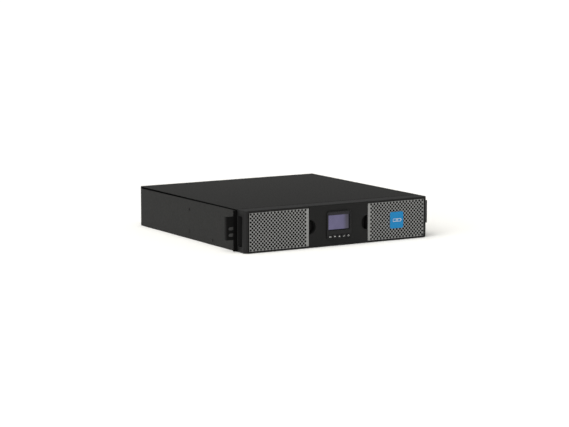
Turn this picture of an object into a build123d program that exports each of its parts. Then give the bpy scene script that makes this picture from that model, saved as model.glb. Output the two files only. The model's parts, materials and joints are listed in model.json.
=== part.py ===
from build123d import *
from math import cos, pi, sin
import os

# A rack or tower uninterruptible power supply, two rack units high.
# Millimetres. +X is to the right seen from the front, the front faces -Y and +Z is up.
# The origin is on the underside, at the middle of the box that holds the whole unit.

# ---- driving dimensions --------------------------------------------------------------
CHASSIS_W = 438.0       # steel shell width
CHASSIS_H = 86.5        # steel shell height, to fit two rack units
FASCIA_Y = -231.5       # front surface of the plastic covers
SHELL_Y = -194.2        # front edge of the steel shell
BACK_Y = 226.0          # outer face of the rear panel
RACK_HOLES_W = 465.1    # spacing of the rack screw slots across the unit
RACK_SLOT_PITCH = 12.7  # vertical spacing of the two slots of an ear

SHEET = 1.2             # steel sheet
COVER_SHEET = 1.4       # top cover sheet
SEAM = 1.8              # gap between the side wall and the top cover
FIT = 0.3               # air between parts that move past each other

MID_Z = 43.0            # height of the display centre and of the fans
HALF_W = CHASSIS_W / 2
WALL_TOP = CHASSIS_H - COVER_SHEET - SEAM
LID_UNDER = CHASSIS_H - COVER_SHEET

# plastic front covers
PANEL_HALF_W = 220.5
PANEL_Z = (1.0, 86.2)
PANEL_BACK_Y = -198.0
PANEL_CORNER_R = 10.0
PANEL_WALL = 2.4
SPLIT_X = 70.5          # joint between the centre cover and a side cover
SPLIT_GAP = 0.4         # half the gap at that joint
GRIP_R = 15.0           # half-round finger recess
GRIP_DEPTH = 12.0
SIDE_GRIP_X = 215.8     # floor of the vertical grip in the cover's side
SIDE_GRIP_Z = (13.0, 74.0)
STEP_X = 218.5          # shadow step at the back edge of the cover's side
STEP_Y = -200.2
PIN_R = 1.6
PIN_HOLE_R = 1.9
PIN_SIDE_X = (215.6, 73.2)
PIN_SIDE_Z = (15.0, 71.0)
PIN_CENTRE_X = 66.0
PIN_CENTRE_Z = (8.0, 79.0)

# carrier behind the covers
BEZEL_Y = (-197.6, SHELL_Y)
STRIP_X = 227.5         # outer edge of the strips that hide the front flanges
STRIP_Y = -197.0
STRIP_Z = (1.4, 84.4)
DRAWER_GATE_X = (-211.5, -76.5)
DRAWER_GATE_TOP = 79.5

# perforated grille sheet
GRILLE_X = (71.4, 211.4)
GRILLE_Z = (4.0, 81.6)
GRILLE_SHEET = 0.8
GRILLE_RECESS = 0.6
GRILLE_GAP = 1.5        # open slit between the sheet and the corner of the cover
GRILLE_SEAT = 2.2       # width of the ledge behind the sheet's upper and lower edges
GRILLE_OPEN_X = (75.9, 209.0)
HOLE_D = 4.7
HOLE_PITCH = 8.0
HOLE_COLUMNS = 17
HOLE_ROWS = 10
HOLE_CENTRE = (143.5, 42.8)
BADGE_CENTRE = (142.5, 42.2)
BADGE_SIZE = (32.0, 34.5)
BADGE_THICK = 1.8

# display
DISPLAY_SIZE = 58.0
DISPLAY_FRONT_Y = -234.2
DISPLAY_BACK_Y = FASCIA_Y - FIT
COLLAR_R = 28.0
COLLAR_WALL = 2.0
COLLAR_BACK_Y = -226.0
WINDOW_Z = 51.2
WINDOW_RIM = (53.0, 38.2)       # outer edge of the window's bevel
WINDOW_OPENING = (52.0, 36.8)
WINDOW_SEAT = (53.8, 38.8)
WINDOW_SHEET = (53.4, 38.4)
WINDOW_DEPTH = 0.5
WINDOW_THICK = 0.7
LCD_SIZE = (52.8, 37.8)
LCD_Y = (-232.9, -232.1)
TROUGH = (54.0, 9.0)            # channel that the keys stand in
TROUGH_DEPTH = 1.8
KEY = (8.8, 6.6)
BUTTON_Z = 19.6
BUTTON_PITCH = 11.0
BUTTON_PROUD = 0.4
BUTTONS = ("escape", "down", "up", "enter", "power")

# battery drawer
TRAY_X = (-209.5, -78.5)
TRAY_Y = (-188.0, 179.8)
TRAY_Z = (3.2, 74.0)
BLOCK = (101.0, 90.0, 70.0)
BLOCK_COUNT = 4
BLOCK_GAP = 1.0
BLOCK_X = -207.5
BLOCK_Z = TRAY_Z[0] + SHEET + 0.2
BLOCK_Y = TRAY_Y[0] + SHEET + 1.2
TERMINAL_X = BLOCK_X + BLOCK[0]
TERMINAL_REACH = 6.0
TERMINAL_Z = 62.0
TERMINAL_INSET = 15.0
WIRE_R = 1.8
LEAD_R = 2.2
PLUG_X = (-100.0, -84.0)
PLUG_Z = (24.0, 48.0)
PLUG_BORE_Z = (31.0, 41.0)
STOP_Y = 192.8

# ears
EAR_X = (219.3, 244.0)
EAR_Z = (24.7, 72.4)
EAR_Y = (-196.2, SHELL_Y)
EAR_LIP = 1.8           # thickness of the ear's turned-back outer edge
EAR_LIP_Y = -189.5
EAR_SLOT_Z = 41.3       # height midway between an ear's two slots
EAR_SLOT = (12.0, 6.8)
EAR_SCREW_X = 223.0
EAR_SCREW_Z = (29.7, 67.4)
FLANGE_X = 227.3
SCREW_HEAD = (3.3, 1.0)
CASE_SCREW_R = 2.0
CASE_SCREW_HOLE_R = 2.15

# rear panel layout, in x and z
FAN_SIZE = 80.0
FAN_DEPTH = 25.0
FAN_X = (90.0, 173.0)
FAN_DUCT_R = 38.0
FAN_HOLE = 35.75
GUARD_BAR = 1.8
GUARD_RINGS = (11.0, 20.0, 29.0, 38.0)
GUARD_EYE_R = 4.4
OUTLET_X = (-192.0, -159.0, -126.0, -93.0)
OUTLET_Z = (26.0, 60.0)
OUTLET_BODY = (27.2, 21.6)
INLET_XZ = (-42.0, 62.0)
INLET_BODY = (27.2, 20.0)
CONTACTS = ((-7.0, 1.0), (7.0, 1.0), (0.0, -3.0))
BREAKER_XZ = (-48.0, 31.0)
SLOT_X = (-10.0, 46.0)
SLOT_Z = (48.0, 78.0)
USB_XZ = (-22.0, 27.0)
SERIAL_XZ = (9.0, 27.0)
REMOTE_XZ = (37.0, 27.0)
EXT_XZ = (10.0, 10.6)
STUD_XZ = (-57.0, 11.0)

# screws and one lanced slot in each side wall: y, z
SIDE_SCREWS = ((7.0, 62.0), (-92.0, 9.5))
SIDE_SLOT = (6.0, 16.0)
SIDE_SLOT_SIZE = (1.8, 9.0)
LID_LIP_Z = 55.0        # lower edge of the top cover's side lips


# ---- helpers ---------------------------------------------------------------------------
def block(x, y, z):
    """A box from its low and high limits on each axis."""
    size = [pair[1] - pair[0] for pair in (x, y, z)]
    centre = [(pair[1] + pair[0]) / 2 for pair in (x, y, z)]
    return Pos(*centre) * Box(*size)


def centred(x, z, size, y):
    """A box centred on x and z, between two y."""
    return block((x - size[0] / 2, x + size[0] / 2), y, (z - size[1] / 2, z + size[1] / 2))


def slab(sketch, y):
    """A sketch in x and z, made solid between two y."""
    plane = Plane(origin=(0, y[1], 0), x_dir=(1, 0, 0), z_dir=(0, -1, 0))
    return extrude(plane * sketch, amount=y[1] - y[0])


def rounded(x, z, size, radius):
    """A rounded rectangle in x and z."""
    return Pos(x, z) * RectangleRounded(size[0], size[1], radius)


def rod_y(x, z, radius, y):
    """A round bar along Y."""
    return Pos(x, (y[0] + y[1]) / 2, z) * Rot(90, 0, 0) * Cylinder(radius, y[1] - y[0])


def rod_x(y, z, radius, x):
    """A round bar along X."""
    return Pos((x[0] + x[1]) / 2, y, z) * Rot(0, 90, 0) * Cylinder(radius, x[1] - x[0])


def rod_z(x, y, radius, z):
    """A round bar along Z."""
    return Pos(x, y, (z[0] + z[1]) / 2) * Cylinder(radius, z[1] - z[0])


def both_sides(shape):
    """The shape and its mirror image across the middle of the unit."""
    return [shape, mirror(shape, Plane.YZ)]


def tube(points, radii, radius):
    """A round wire along straight runs joined by tangent arcs."""
    path = FilletPolyline(*points, radius=radii)
    start = Plane(origin=path @ 0, z_dir=path % 0)
    return sweep(start * Circle(radius), path=path)


NODES = []


def save(name, *shapes):
    """Write one node: every solid of the given shapes."""
    solids = [solid for shape in shapes for solid in shape.solids()]
    export_step(Compound(solids) if len(solids) > 1 else solids[0], f"parts/{name}.step")
    NODES.append(name)


# ---- steel shell -------------------------------------------------------------------------
def base_tray():
    """Floor, side walls, front flanges and the ribs that the battery drawer runs on."""
    body = block((-HALF_W, HALF_W), (SHELL_Y, BACK_Y), (0, WALL_TOP))
    body -= block((SHEET - HALF_W, HALF_W - SHEET), (SHELL_Y - 1, BACK_Y + 1), (SHEET, CHASSIS_H))
    bottom_edges = body.edges().filter_by(Axis.Y).group_by(Axis.Z)[0]
    body = fillet(bottom_edges, 1.1)
    flange = block((-FLANGE_X, SHEET - HALF_W), (SHELL_Y, SHELL_Y + SHEET), (1.6, WALL_TOP))
    for side in both_sides(flange):
        body += side
    for x in (TRAY_X[0] + 12, TRAY_X[1] - 12):
        body += block((x - 3, x + 3), (TRAY_Y[0], TRAY_Y[1]), (SHEET / 2, TRAY_Z[0] - FIT + 0.1))
    holes = [rod_x(y, z, CASE_SCREW_HOLE_R, (-HALF_W - 1, SHEET + 1 - HALF_W)) for y, z in SIDE_SCREWS]
    holes += [rod_y(-EAR_SCREW_X, z, CASE_SCREW_HOLE_R, (SHELL_Y - 1, SHELL_Y + 3)) for z in EAR_SCREW_Z]
    slot_y = (SIDE_SLOT[0] - SIDE_SLOT_SIZE[0] / 2, SIDE_SLOT[0] + SIDE_SLOT_SIZE[0] / 2)
    slot_z = (SIDE_SLOT[1] - SIDE_SLOT_SIZE[1] / 2, SIDE_SLOT[1] + SIDE_SLOT_SIZE[1] / 2)
    holes.append(block((-HALF_W - 1, SHEET + 1 - HALF_W), slot_y, slot_z))
    for hole in holes:
        for side in both_sides(hole):
            body -= side
    return body


def top_cover():
    """Flat lid with a turned-down lip inside each side wall."""
    body = block((-HALF_W, HALF_W), (SHELL_Y, BACK_Y), (LID_UNDER, CHASSIS_H))
    body = fillet(body.edges().filter_by(Axis.Y).group_by(Axis.Z)[-1], 0.9)
    inner = HALF_W - SHEET - 0.4
    lip = block((-inner, SHEET - inner), (SHELL_Y + 4, 208), (LID_LIP_Z, LID_UNDER + 0.1))
    for side in both_sides(lip):
        body += side
    for y, z in SIDE_SCREWS:
        if z > LID_LIP_Z:
            for hole in both_sides(rod_x(y, z, CASE_SCREW_HOLE_R, (-HALF_W, -HALF_W + 4))):
                body -= hole
    return body


def rear_panel():
    """Back wall with its lips and the cut-outs of everything that it carries."""
    y = (BACK_Y - SHEET, BACK_Y)
    edge = HALF_W - SHEET - 0.3
    body = block((-edge, edge), y, (SHEET + 0.2, LID_UNDER - 0.2))
    body += block((4 - edge, edge - 4), (212, BACK_Y), (SHEET + 0.1, 2 * SHEET + 0.1))
    body += block((4 - edge, edge - 4), (212, BACK_Y), (LID_UNDER - SHEET - 0.1, LID_UNDER - 0.1))
    for lip in both_sides(block((-edge, SHEET - edge), (212, BACK_Y), (4, LID_UNDER - 4))):
        body += lip
    cut = (BACK_Y - 3, BACK_Y + 3)
    tools = [rod_y(x, MID_Z, FAN_DUCT_R, cut) for x in FAN_X]
    tools += [rod_y(x + dx, MID_Z + dz, 2.3, cut) for x in FAN_X
              for dx in (-FAN_HOLE, FAN_HOLE) for dz in (-FAN_HOLE, FAN_HOLE)]
    tools += [centred(x, z, (OUTLET_BODY[0] + 0.4, OUTLET_BODY[1] + 0.4), cut)
              for x in OUTLET_X for z in OUTLET_Z]
    tools.append(centred(*INLET_XZ, (INLET_BODY[0] + 0.4, INLET_BODY[1] + 0.4), cut))
    tools.append(rod_y(*BREAKER_XZ, 5.7, cut))
    tools.append(block((SLOT_X[0] + 10, SLOT_X[1] - 10), cut, (SLOT_Z[0] + 3, SLOT_Z[1] - 3)))
    tools += [rod_y(x, (SLOT_Z[0] + SLOT_Z[1]) / 2, 1.7, cut) for x in (SLOT_X[0] + 5, SLOT_X[1] - 5)]
    tools.append(centred(*USB_XZ, (12.4, 11.4), cut))
    tools.append(centred(*SERIAL_XZ, (19.4, 11.2), cut))
    tools.append(centred(*REMOTE_XZ, (12.0, 9.0), cut))
    tools.append(centred(*EXT_XZ, (38.4, 12.4), cut))
    tools.append(rod_y(*STUD_XZ, 2.15, cut))
    return body - tools


def front_bulkhead():
    """Steel frame across the front of the shell, open for the drawer and for the air."""
    edge = HALF_W - SHEET - 0.3
    body = block((-edge, edge), (SHELL_Y, SHELL_Y + SHEET), (SHEET + 0.2, LID_UNDER - 0.2))
    cut = (SHELL_Y - 1, SHELL_Y + 3)
    body -= block(DRAWER_GATE_X, cut, (TRAY_Z[0] - 0.5, DRAWER_GATE_TOP))
    body -= block((78, 209), cut, (9, 78))
    body -= slab(rounded(0, MID_Z, (44, 22), 4), cut)
    return body


def bezel_frame():
    """Plastic carrier that the front covers plug into, with a strip over each front flange."""
    sketch = rounded(0, sum(PANEL_Z) / 2, (2 * (HALF_W - 0.2), PANEL_Z[1] - PANEL_Z[0]), 1.0)
    body = slab(sketch, BEZEL_Y)
    strip = block((-STRIP_X, 2 - HALF_W), (STRIP_Y, SHELL_Y), STRIP_Z)
    pocket_z = (EAR_Z[0] - FIT, EAR_Z[1] + FIT)
    strip -= block((-STRIP_X - 1, 0.2 - EAR_X[0]), (EAR_Y[0] - 0.1, SHELL_Y + 1), pocket_z)
    for side in both_sides(strip):
        body += side
    cut = (BEZEL_Y[0] - 1, BEZEL_Y[1] + 1)
    body -= block(DRAWER_GATE_X, cut, (TRAY_Z[0] - 0.5, DRAWER_GATE_TOP))
    body -= slab(rounded(143.5, MID_Z, (131, 70), 3), cut)
    body -= slab(rounded(0, MID_Z, (60, 44), 4), cut)
    for x, z in snap_pins():
        body -= rod_y(x, z, PIN_HOLE_R, cut)
    return body


def partition_wall():
    """Wall between the battery bay and the electronics."""
    body = block((-71.8, -71.8 + SHEET), (SHELL_Y + 4, 190), (SHEET, 84))
    body += block((-71.8, -64), (SHELL_Y + 4, 190), (SHEET, 2 * SHEET))
    return body


def battery_stop():
    """Cross wall behind the drawer, which carries the fixed half of the battery connector."""
    body = block((-214, -72.5), (STOP_Y, STOP_Y + SHEET), (SHEET, 84))
    body -= block((PLUG_X[0] - 1, PLUG_X[1] + 1), (STOP_Y - 1, STOP_Y + 3), (PLUG_Z[0] - 1, PLUG_Z[1] + 1))
    return body


# ---- rack ears and case screws ------------------------------------------------------------
def ear(side):
    """Ear plate with two rack slots and its outer edge turned back. side is -1 or 1."""
    body = block(EAR_X, EAR_Y, EAR_Z) + block((EAR_X[1] - EAR_LIP, EAR_X[1]), (EAR_Y[0], EAR_LIP_Y), EAR_Z)
    bend = [e for e in body.edges().filter_by(Axis.Z) if e.center().Y < EAR_Y[0] + 0.1 and e.center().X > 240]
    body = fillet(bend, 1.2)
    for dz in (-RACK_SLOT_PITCH / 2, RACK_SLOT_PITCH / 2):
        slot = Pos(RACK_HOLES_W / 2, EAR_SLOT_Z + dz) * SlotOverall(*EAR_SLOT)
        body -= slab(slot, (EAR_Y[0] - 1, EAR_Y[1] + 1))
    for z in EAR_SCREW_Z:
        body -= rod_y(EAR_SCREW_X, z, CASE_SCREW_HOLE_R, (EAR_Y[0] - 1, EAR_Y[1] + 1))
    return body if side > 0 else mirror(body, Plane.YZ)


def pan_screw(head_r, head_h, shank_r, length):
    """Pan-head screw along +Z, the underside of its head at z = 0."""
    head = Pos(0, 0, head_h / 2) * Cylinder(head_r, head_h)
    head = fillet(head.edges().group_by(Axis.Z)[-1], head_h * 0.45)
    shank = Pos(0, 0, -length / 2) * Cylinder(shank_r, length)
    drive = [Pos(0, 0, head_h) * Rot(0, 0, angle) * Box(head_r * 1.2, 0.8, 1.8) for angle in (0, 90)]
    return head + shank - drive


def case_screws():
    """Low pan-head screws: two behind each front flange and two in each side wall."""
    screws = []
    for z in EAR_SCREW_Z:
        place = Pos(EAR_SCREW_X, SHELL_Y + SHEET, z) * Rot(-90, 0, 0)
        screws += both_sides(place * pan_screw(*SCREW_HEAD, CASE_SCREW_R, SHELL_Y + SHEET - EAR_Y[0] - 0.1))
    for y, z in SIDE_SCREWS:
        place = Pos(HALF_W, y, z) * Rot(0, 90, 0)
        screws += both_sides(place * pan_screw(*SCREW_HEAD, CASE_SCREW_R, 5.0))
    return screws


# ---- front covers --------------------------------------------------------------------------
def snap_pins():
    """Places in x and z of the pins on the back of the front covers."""
    side = [(x, z) for x in PIN_SIDE_X for z in PIN_SIDE_Z]
    centre = [(PIN_CENTRE_X, z) for z in PIN_CENTRE_Z]
    return [(sign * x, z) for sign in (-1, 1) for x, z in side + centre]


def pins_between(low, high):
    """The pins whose x lies between two values."""
    return [rod_y(x, z, PIN_R, (PANEL_BACK_Y - 3, -194.8)) for x, z in snap_pins() if low < x < high]


def right_panel():
    """Right cover: a rounded outer corner, a side grip, a shadow step and the grille's seat."""
    x = (SPLIT_X + SPLIT_GAP, PANEL_HALF_W)
    body = block(x, (FASCIA_Y, PANEL_BACK_Y), PANEL_Z)
    corner = [e for e in body.edges().filter_by(Axis.Z) if e.center().X > 200 and e.center().Y < -230]
    body = fillet(corner, PANEL_CORNER_R)
    rim = body.faces().sort_by(Axis.Z)[-1].edges() + body.faces().sort_by(Axis.Z)[0].edges()
    rim = [e for e in rim if e.center().Y < PANEL_BACK_Y - 1 and e.center().X > x[0] + 1]
    body = fillet(rim, 1.4)
    inside_z = (PANEL_Z[0] + PANEL_WALL, PANEL_Z[1] - PANEL_WALL)
    body -= block((x[0] + 5, 213), (FASCIA_Y + 3, PANEL_BACK_Y + 1), inside_z)
    seat_x = (x[0] - 1, GRILLE_X[1] + GRILLE_GAP)
    seat_y = (FASCIA_Y - 1, FASCIA_Y + GRILLE_RECESS + GRILLE_SHEET)
    seat_z = (GRILLE_Z[0] - FIT, GRILLE_Z[1] + FIT)
    through = (FASCIA_Y - 1, FASCIA_Y + 4)
    body -= block(seat_x, seat_y, seat_z)
    body -= block(GRILLE_OPEN_X, through, (GRILLE_Z[0] + GRILLE_SEAT, GRILLE_Z[1] - GRILLE_SEAT))
    body -= block((GRILLE_X[1], GRILLE_X[1] + GRILLE_GAP), through, seat_z)
    groove = Polyline((224, -219.5), (SIDE_GRIP_X, -217.6), (SIDE_GRIP_X, -205.5), (224, -196.5), close=True)
    body -= Pos(0, 0, SIDE_GRIP_Z[0]) * extrude(make_face(groove), amount=SIDE_GRIP_Z[1] - SIDE_GRIP_Z[0])
    body -= block((SIDE_GRIP_X - 1, 224), (-216.5, -206.5), (SIDE_GRIP_Z[0] - 1.5, SIDE_GRIP_Z[0] + 3))
    body -= block((STEP_X, 224), (STEP_Y, PANEL_BACK_Y + 1), (PANEL_Z[0] - 1, PANEL_Z[1] + 1))
    for pin in pins_between(x[0], x[1]):
        body += pin
    return body


def right_grille():
    """Perforated sheet: a square grid of holes with a second grid in the middles of the first."""
    y = FASCIA_Y + GRILLE_RECESS
    size = (GRILLE_X[1] - GRILLE_X[0], GRILLE_Z[1] - GRILLE_Z[0])
    sheet = rounded(sum(GRILLE_X) / 2, sum(GRILLE_Z) / 2, size, 0.8)
    grid = GridLocations(HOLE_PITCH, HOLE_PITCH, HOLE_COLUMNS, HOLE_ROWS)
    between = GridLocations(HOLE_PITCH, HOLE_PITCH, HOLE_COLUMNS - 1, HOLE_ROWS - 1)
    places = list(grid) + list(between)
    sheet -= [Pos(*HOLE_CENTRE) * place * Circle(HOLE_D / 2) for place in places]
    return slab(sheet, (y, y + GRILLE_SHEET))


def centre_cover():
    """Middle cover with the display's round hole and a finger recess at each end."""
    half = SPLIT_X - SPLIT_GAP
    body = block((-half, half), (FASCIA_Y, PANEL_BACK_Y), PANEL_Z)
    front = [e for e in body.edges().filter_by(Axis.X) if e.center().Y < FASCIA_Y + 1]
    body = fillet(front, 2.4)
    inner = (PANEL_Z[0] + PANEL_WALL, PANEL_Z[1] - PANEL_WALL)
    body -= block((PANEL_WALL - half, half - PANEL_WALL), (FASCIA_Y + PANEL_WALL, PANEL_BACK_Y + 1), inner)
    keep = block((-half, half), (FASCIA_Y, PANEL_BACK_Y), PANEL_Z)
    cup_y = (FASCIA_Y + 1, FASCIA_Y + GRIP_DEPTH + PANEL_WALL)
    for x in (-half, half):
        body += rod_y(x, MID_Z, GRIP_R + PANEL_WALL, cup_y) & keep
    for x in (-half, half):
        body -= rod_y(x, MID_Z, GRIP_R, (FASCIA_Y - 1, FASCIA_Y + GRIP_DEPTH))
    body -= rod_y(0, MID_Z, COLLAR_R + FIT, (FASCIA_Y - 1, FASCIA_Y + 5))
    for pin in pins_between(-half, half):
        body += pin & block((-half, half), (-210, -190), (0, 90))
        body += block((pin.center().X - 3.5, pin.center().X + 3.5), (-208, PANEL_BACK_Y),
                      (pin.center().Z - 4, pin.center().Z + 4)) & keep
    return body


# ---- display -----------------------------------------------------------------------------
def display_housing():
    """Square turntable with the window's bevel, the glass seat, the button trough and the collar."""
    y = (DISPLAY_FRONT_Y, DISPLAY_BACK_Y)
    body = slab(rounded(0, MID_Z, (DISPLAY_SIZE, DISPLAY_SIZE), 7.0), y)
    body = fillet(body.edges().group_by(Axis.Y)[0], 0.8)
    front = Plane(origin=(0, y[0] - 0.01, 0), x_dir=(1, 0, 0), z_dir=(0, -1, 0))
    deep = Plane(origin=(0, y[0] + WINDOW_DEPTH, 0), x_dir=(1, 0, 0), z_dir=(0, -1, 0))
    opening = rounded(0, WINDOW_Z, WINDOW_OPENING, 2.4)
    seat = rounded(0, WINDOW_Z, WINDOW_SEAT, 3.0)
    body -= loft([deep * opening, front * rounded(0, WINDOW_Z, WINDOW_RIM, 3.0)])
    body -= slab(opening, (y[0] + WINDOW_DEPTH / 2, y[1]))
    body -= slab(seat, (y[0] + WINDOW_DEPTH, y[1] + 1))
    body -= slab(rounded(0, BUTTON_Z, TROUGH, 4.4), (y[0] - 1, y[0] + TROUGH_DEPTH))
    collar = rod_y(0, MID_Z, COLLAR_R, (y[1] - 0.5, COLLAR_BACK_Y))
    collar -= rod_y(0, MID_Z, COLLAR_R - COLLAR_WALL, (y[0], COLLAR_BACK_Y + 1))
    collar -= slab(seat, (y[0], y[1] + FIT))
    return body + collar


def display_window():
    """Clear sheet behind the housing's opening."""
    y = DISPLAY_FRONT_Y + WINDOW_DEPTH
    return slab(rounded(0, WINDOW_Z, WINDOW_SHEET, 2.8), (y, y + WINDOW_THICK))


def lcd_panel():
    """Liquid crystal glass behind the window."""
    return slab(rounded(0, WINDOW_Z, LCD_SIZE, 2.5), LCD_Y)


def display_retainer():
    """Ring on the collar, behind the centre cover."""
    y = (FASCIA_Y + PANEL_WALL + FIT, FASCIA_Y + PANEL_WALL + FIT + 1.8)
    return rod_y(0, MID_Z, COLLAR_R + 3.5, y) - rod_y(0, MID_Z, COLLAR_R, (y[0] - 1, y[1] + 1))


def display_board():
    """Round circuit board in the collar, with its cable header."""
    board = rod_y(0, MID_Z, COLLAR_R - 2.4, (-230.2, -228.6))
    header = centred(0, MID_Z, (22, 5.5), (-228.7, -222.5)) - centred(0, MID_Z, (19.5, 3.5), (-227, -222))
    return board + header


def button(index):
    """One key cap in the trough."""
    x = (index - (len(BUTTONS) - 1) / 2) * BUTTON_PITCH
    cap = slab(rounded(x, BUTTON_Z, KEY, 3.0), (DISPLAY_FRONT_Y - BUTTON_PROUD, DISPLAY_FRONT_Y + 1.2))
    return fillet(cap.edges().group_by(Axis.Y)[0], 0.5)


def badge():
    """Plain plate on the right grille."""
    y = FASCIA_Y + GRILLE_RECESS
    plate = slab(rounded(*BADGE_CENTRE, BADGE_SIZE, 3.5), (y - BADGE_THICK, y))
    return fillet(plate.edges().group_by(Axis.Y)[0], 0.6)


# ---- battery drawer ----------------------------------------------------------------------
def battery_tray():
    """Sheet tray, open at the top, with the connector's hole in its back."""
    body = block(TRAY_X, TRAY_Y, (TRAY_Z[0], 60))
    inside_y = (TRAY_Y[0] + SHEET, TRAY_Y[1] - SHEET)
    body -= block((TRAY_X[0] + SHEET, TRAY_X[1] - SHEET), inside_y, (TRAY_Z[0] + SHEET, 90))
    body += block(TRAY_X, (TRAY_Y[0], TRAY_Y[0] + SHEET), TRAY_Z)
    body -= block(PLUG_X, (TRAY_Y[1] - 3, TRAY_Y[1] + 1), PLUG_Z)
    return body


def pull_handle():
    """Handle on the front of the drawer."""
    x = (-172.0, -116.0)
    y = (-210.0, TRAY_Y[0])
    body = block(x, y, (35, 45)) - block((x[0] + 8, x[1] - 8), (y[0] + 7, y[1] + 1), (30, 50))
    body += block((x[0] - 8, x[0] + 8), (y[1] - 2.5, y[1]), (31, 49))
    body += block((x[1] - 8, x[1] + 8), (y[1] - 2.5, y[1]), (31, 49))
    outer = [e for e in body.edges().filter_by(Axis.Z) if e.center().Y < y[0] + 0.1]
    return fillet(outer, 6.0)


def block_start(index):
    """The front face of one battery, in y."""
    return BLOCK_Y + index * (BLOCK[1] + BLOCK_GAP)


def battery_blocks():
    """Four sealed batteries in a row."""
    blocks = []
    for index in range(BLOCK_COUNT):
        y = block_start(index)
        body = block((BLOCK_X, TERMINAL_X), (y, y + BLOCK[1]), (BLOCK_Z, BLOCK_Z + BLOCK[2]))
        blocks.append(fillet(body.edges().filter_by(Axis.X), 2.0))
    return blocks


def terminal_ys(index):
    """The positive and negative terminals of one battery, in y."""
    y = block_start(index)
    return y + TERMINAL_INSET, y + BLOCK[1] - TERMINAL_INSET


def battery_terminals():
    """Flat tabs, two on each battery."""
    x = (TERMINAL_X, TERMINAL_X + TERMINAL_REACH)
    z = (TERMINAL_Z - 0.4, TERMINAL_Z + 0.4)
    return [block(x, (y - 3.2, y + 3.2), z) for index in range(BLOCK_COUNT) for y in terminal_ys(index)]


def battery_wiring():
    """Links from battery to battery, and the two leads to the drawer's connector."""
    start = TERMINAL_X + TERMINAL_REACH
    wires = []
    for index in range(BLOCK_COUNT - 1):
        here = terminal_ys(index)[1]
        there = terminal_ys(index + 1)[0]
        points = ((start, here, TERMINAL_Z), (start + 14, here, TERMINAL_Z),
                  (start + 14, there, TERMINAL_Z), (start, there, TERMINAL_Z))
        wires.append(tube(points, 6.0, WIRE_R))
    lead_x = sum(PLUG_X) / 2
    turn_x = start + 10.5
    plug_back = TRAY_Y[1] - 8
    low, high = PLUG_BORE_Z
    first = terminal_ys(0)[0]
    long_lead = ((start, first, TERMINAL_Z), (turn_x, first, TERMINAL_Z),
                 (lead_x, first + 20, low), (lead_x, plug_back, low))
    wires.append(tube(long_lead, [4.0, 9.0], WIRE_R))
    last = terminal_ys(BLOCK_COUNT - 1)[1]
    short_lead = ((start, last, TERMINAL_Z), (turn_x, last, TERMINAL_Z), (lead_x, last - 12.4, high + 9),
                  (lead_x, last - 7.4, high), (lead_x, plug_back, high))
    wires.append(tube(short_lead, [4.0, 5.5, 7.0], WIRE_R))
    return wires


def battery_plug():
    """Drawer half of the connector, with two bores for the pins."""
    body = block(PLUG_X, (TRAY_Y[1] - 8, 190.0), PLUG_Z)
    body = fillet(body.edges().filter_by(Axis.Y), 1.0)
    for z in PLUG_BORE_Z:
        body -= rod_y(sum(PLUG_X) / 2, z, 2.3, (183.0, 191))
    return body


def battery_socket():
    """Fixed half of the connector: a sleeve around the plug, a back and two pins."""
    x = (PLUG_X[0] - 2.4, PLUG_X[1] + 2.4)
    z = (PLUG_Z[0] - 2.4, PLUG_Z[1] + 2.4)
    body = block(x, (183.0, STOP_Y), z)
    body -= block((PLUG_X[0] - 0.4, PLUG_X[1] + 0.4), (182, 190.6), (PLUG_Z[0] - 0.4, PLUG_Z[1] + 0.4))
    body += block((PLUG_X[0] - 0.8, PLUG_X[1] + 0.8), (STOP_Y - 0.1, 200.6), (PLUG_Z[0] - 0.8, PLUG_Z[1] + 0.8))
    for pin_z in PLUG_BORE_Z:
        body += rod_y(sum(PLUG_X) / 2, pin_z, 1.9, (184.5, 191.5))
    return body


def battery_feed_leads():
    """Two leads from the fixed connector to the power board."""
    start = PLUG_X[1] + 0.8
    leads = []
    for z, shift in zip(PLUG_BORE_Z, (0.0, 8.0)):
        points = ((start, 197.4, z), (-63, 197.4, z), (-57 + shift / 4, 176, z - 4),
                  (-50 + shift, 160, 21), (-50 + shift, 146, BOARD_Z[1] + LEAD_R))
        leads.append(tube(points, [8.0, 8.0, 6.0], LEAD_R))
    return leads


# ---- electronics -------------------------------------------------------------------------
BOARD_X = (-60.0, 206.0)
BOARD_Y = (-170.0, 150.0)
BOARD_Z = (9.2, 10.8)
STANDOFFS = [(x, y) for x in (-54.0, 40.0, 120.0, 200.0) for y in (-164.0, 144.0)]


def power_board():
    """Main circuit board with its mounting holes."""
    body = block(BOARD_X, BOARD_Y, BOARD_Z)
    return body - [rod_z(x, y, 1.7, (BOARD_Z[0] - 1, BOARD_Z[1] + 1)) for x, y in STANDOFFS]


def board_standoffs():
    """Round posts between the shell's floor and the main board."""
    return [rod_z(x, y, 3.0, (SHEET, BOARD_Z[0])) for x, y in STANDOFFS]


HEAT_SINK_X = (-40.0, 62.0)
HEAT_SINK_Y = (-130.0, 90.0)


def heat_sinks():
    """Two comb-shaped extrusions, each with an upright back and level fins."""
    sinks = []
    for x in HEAT_SINK_X:
        body = block((x, x + 5), HEAT_SINK_Y, (BOARD_Z[1], 70))
        for level in range(8):
            z = 15 + level * 7.5
            body += block((x + 4, x + 36), HEAT_SINK_Y, (z, z + 1.6))
        sinks.append(body)
    return sinks


def power_transistors():
    """Switching devices clamped to the backs of the heat sinks."""
    rows = [-118 + 32 * index for index in range(7)]
    return [block((x - 5, x), (y, y + 16), (17, 38)) for x in HEAT_SINK_X for y in rows]


def bulk_capacitors():
    """Six upright capacitor cans in a row."""
    cans = []
    for index in range(6):
        can = rod_z(24, -146 + 34 * index, 15.0, (BOARD_Z[1], 60))
        cans.append(fillet(can.edges().group_by(Axis.Z)[-1], 1.5))
    return cans


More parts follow.
